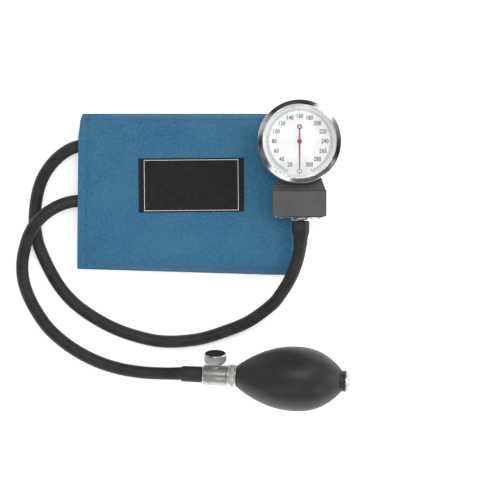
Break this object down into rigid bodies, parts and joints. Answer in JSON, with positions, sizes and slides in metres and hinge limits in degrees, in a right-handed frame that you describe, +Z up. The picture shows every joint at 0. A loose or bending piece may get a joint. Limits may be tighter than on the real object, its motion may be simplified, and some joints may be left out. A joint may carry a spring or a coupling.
{
  "type": "aneroid sphygmomanometer",
  "caption": "Pocket aneroid sphygmomanometer: folded arm cuff with bladder, dial gauge on its hook, two rubber hoses, squeeze bulb and release valve.",
  "frame": {"origin": "centre of the object's footprint without its hoses, on the table it lies on", "axes": "+Z up from the table, +X from the cuff's hem towards the gauge, +Y from the bulb towards the gauge"},
  "size_m": [0.257, 0.2399, 0.0529],
  "materials": {
    "cuff_cloth": "woven nylon",
    "cuff_lining": "woven nylon",
    "bladder_rubber": "matte",
    "loop_fabric": "looped pile",
    "hook_fabric": "fine plastic hooks",
    "label_cloth": "satin weave",
    "strap_webbing": "webbing",
    "hose_rubber": "satin",
    "case_plastic": "matte",
    "bezel_chrome": "polished",
    "crystal_glass": "clear",
    "seal_rubber": "matte",
    "dial_ring_plastic": "satin",
    "dial_enamel": "smooth white",
    "pointer_paint": "crimson",
    "movement_steel": "turned",
    "spring_bronze": "drawn strip",
    "movement_brass": "brushed",
    "capsule_bronze": "pressed sheet",
    "screw_steel": "plated",
    "hook_steel": "bright",
    "fitting_chrome": "polished",
    "valve_nickel": "satin nickel plate",
    "collar_nickel": "turned nickel plate",
    "knob_chrome": "knurled",
    "bulb_rubber": "matte"
  },
  "bodies": {
    "cuff_and_case": {"outer_cloth": "cuff_cloth", "inner_cloth": "cuff_lining", "bladder": "bladder_rubber", "loop_patch": "loop_fabric", "hook_patch": "hook_fabric", "woven_label": "label_cloth", "gauge_strap": "strap_webbing", "gauge_hose": "hose_rubber", "bulb_hose": "hose_rubber", "gauge_case": "case_plastic", "gauge_bezel": "bezel_chrome", "gauge_crystal": "crystal_glass", "crystal_gasket": "seal_rubber", "dial_ring": "dial_ring_plastic", "dial_plate": "dial_enamel", "hairspring": "spring_bronze", "shaft_bearings": "movement_brass", "capsule_upper": "capsule_bronze", "capsule_lower": "capsule_bronze", "capsule_stem": "movement_brass", "movement_base": "movement_brass", "base_screws": "screw_steel", "movement_pillars": "movement_brass", "movement_bridge": "movement_brass", "bridge_screws": "screw_steel", "movement_cock": "movement_brass", "cock_screws": "screw_steel", "gauge_hook": "hook_steel", "hook_rivets": "screw_steel", "end_plate": "fitting_chrome", "end_plate_screws": "screw_steel", "gauge_nipple": "fitting_chrome", "valve_body": "valve_nickel", "valve_nipple": "valve_nickel", "valve_collar": "collar_nickel", "bulb_spigot": "valve_nickel", "needle_seal": "seal_rubber", "bulb": "bulb_rubber", "inlet_body": "valve_nickel", "inlet_cap": "fitting_chrome"},
    "sector": {"sector_gear": "movement_brass"},
    "pointer": {"pointer": "pointer_paint", "pinion_arbor": "movement_steel"},
    "rocker": {"rocking_shaft": "movement_steel"},
    "capsule_pin": {"capsule_pin": "movement_brass"},
    "needle": {"release_needle": "screw_steel"},
    "knob": {"release_knob": "knob_chrome"},
    "outlet_disc": {"outlet_disc": "seal_rubber"},
    "inlet_disc": {"inlet_disc": "seal_rubber"}
  },
  "joints": [
    {"name": "sector_turn", "type": "hinge", "parent": "cuff_and_case", "child": "sector", "pos_m": [0.05157, 0.0921, 0.0392], "axis": [0, 0, 1], "range_deg": [0, 33.75]},
    {"name": "pointer_turn", "type": "hinge", "parent": "cuff_and_case", "child": "pointer", "pos_m": [0.0663, 0.0876, 0.0392], "axis": [0, 0, 1], "range_deg": [-337.5, 0]},
    {"name": "rocker_turn", "type": "hinge", "parent": "cuff_and_case", "child": "rocker", "pos_m": [0.0663, 0.0921, 0.0353], "axis": [1, 0, 0], "range_deg": [-21.2, 0]},
    {"name": "capsule_lift", "type": "slide", "parent": "cuff_and_case", "child": "capsule_pin", "axis": [0, 0, 1], "range_m": [0, 0.00165], "stiffness_N_per_m": 20, "deforming": ["capsule_upper"]},
    {"name": "knob_turn", "type": "hinge", "parent": "needle", "child": "knob", "pos_m": [0.00153, -0.09223, 0.01668], "axis": [-0.0049, 0.9409, 0.3387], "range_deg": [0, 540]},
    {"name": "needle_lift", "type": "slide", "parent": "cuff_and_case", "child": "needle", "axis": [-0.0049, 0.9409, 0.3387], "range_m": [0, 0.0012]},
    {"name": "outlet_disc_lift", "type": "slide", "parent": "cuff_and_case", "child": "outlet_disc", "axis": [-0.9892, 0.0449, -0.1392], "range_m": [0, 0.0012]},
    {"name": "inlet_disc_lift", "type": "slide", "parent": "cuff_and_case", "child": "inlet_disc", "axis": [-0.9892, 0.0449, -0.1392], "range_m": [0, 0.0012]}
  ],
  "couplings": [
    {"joint": "sector_turn", "follows": "capsule_lift", "rad_per_m": 356.99},
    {"joint": "pointer_turn", "follows": "capsule_lift", "rad_per_m": -3569.9},
    {"joint": "rocker_turn", "follows": "capsule_lift", "rad_per_m": -224.2},
    {"joint": "knob_turn", "follows": "needle_lift", "rad_per_m": 7853.9}
  ]
}
